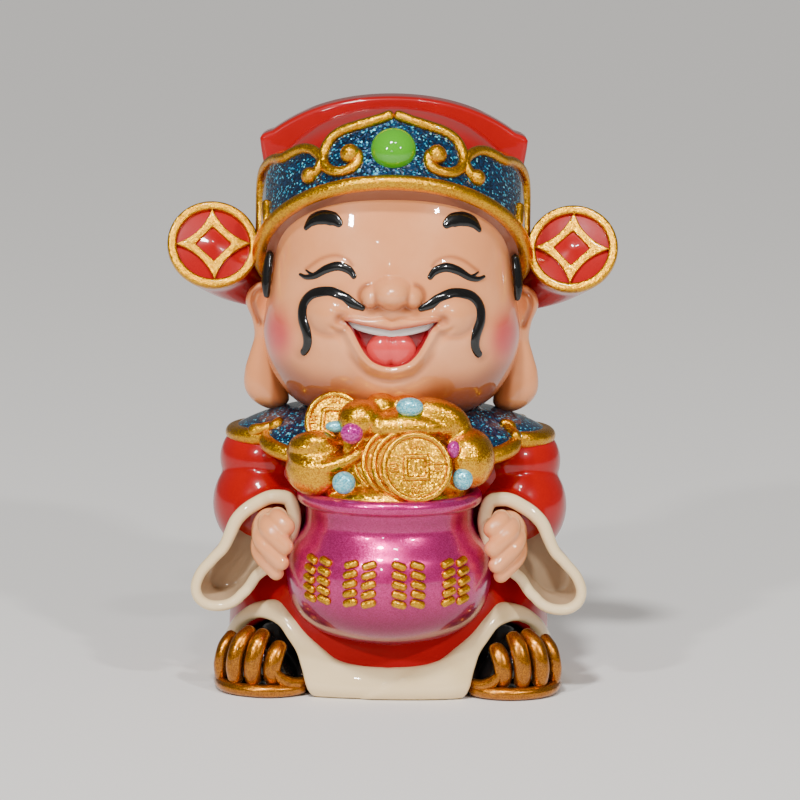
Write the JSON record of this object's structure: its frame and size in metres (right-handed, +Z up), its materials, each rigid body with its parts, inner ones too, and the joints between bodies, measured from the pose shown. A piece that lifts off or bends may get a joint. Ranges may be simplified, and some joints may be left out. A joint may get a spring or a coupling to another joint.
{
  "type": "caishen figure",
  "caption": "Cartoon treasure god figurine in a red robe and a winged hat, sitting and hugging a pearl pink pot heaped with gold coins and ingots.",
  "frame": {"origin": "middle of the flat underside, under the middle of the figure's bounding box", "axes": "+Z up the figure, -Y the way its face looks, +X to the viewer's right"},
  "size_m": [0.078, 0.0528, 0.1005],
  "materials": {
    "red_paint": "glossy clear-coated paint",
    "skin_paint": "glossy clear-coated paint with an airbrushed blush",
    "gold_paint": "metallic flake paint under clear coat",
    "blue_glitter_paint": "glitter in clear coat",
    "pearl_pink_paint": "pearl paint under clear coat",
    "cream_paint": "glossy paint",
    "lining_paint": "glossy paint",
    "black_paint": "glossy paint",
    "shoe_gold_paint": "antique gold paint over black",
    "green_gem_paint": "glossy clear-coated paint",
    "cyan_gem_paint": "glossy clear-coated paint",
    "magenta_gem_paint": "glossy clear-coated paint",
    "teeth_paint": "glossy paint",
    "mouth_paint": "glossy paint"
  },
  "bodies": {
    "root": {"caishen_figure": "red_paint"}
  },
  "joints": []
}
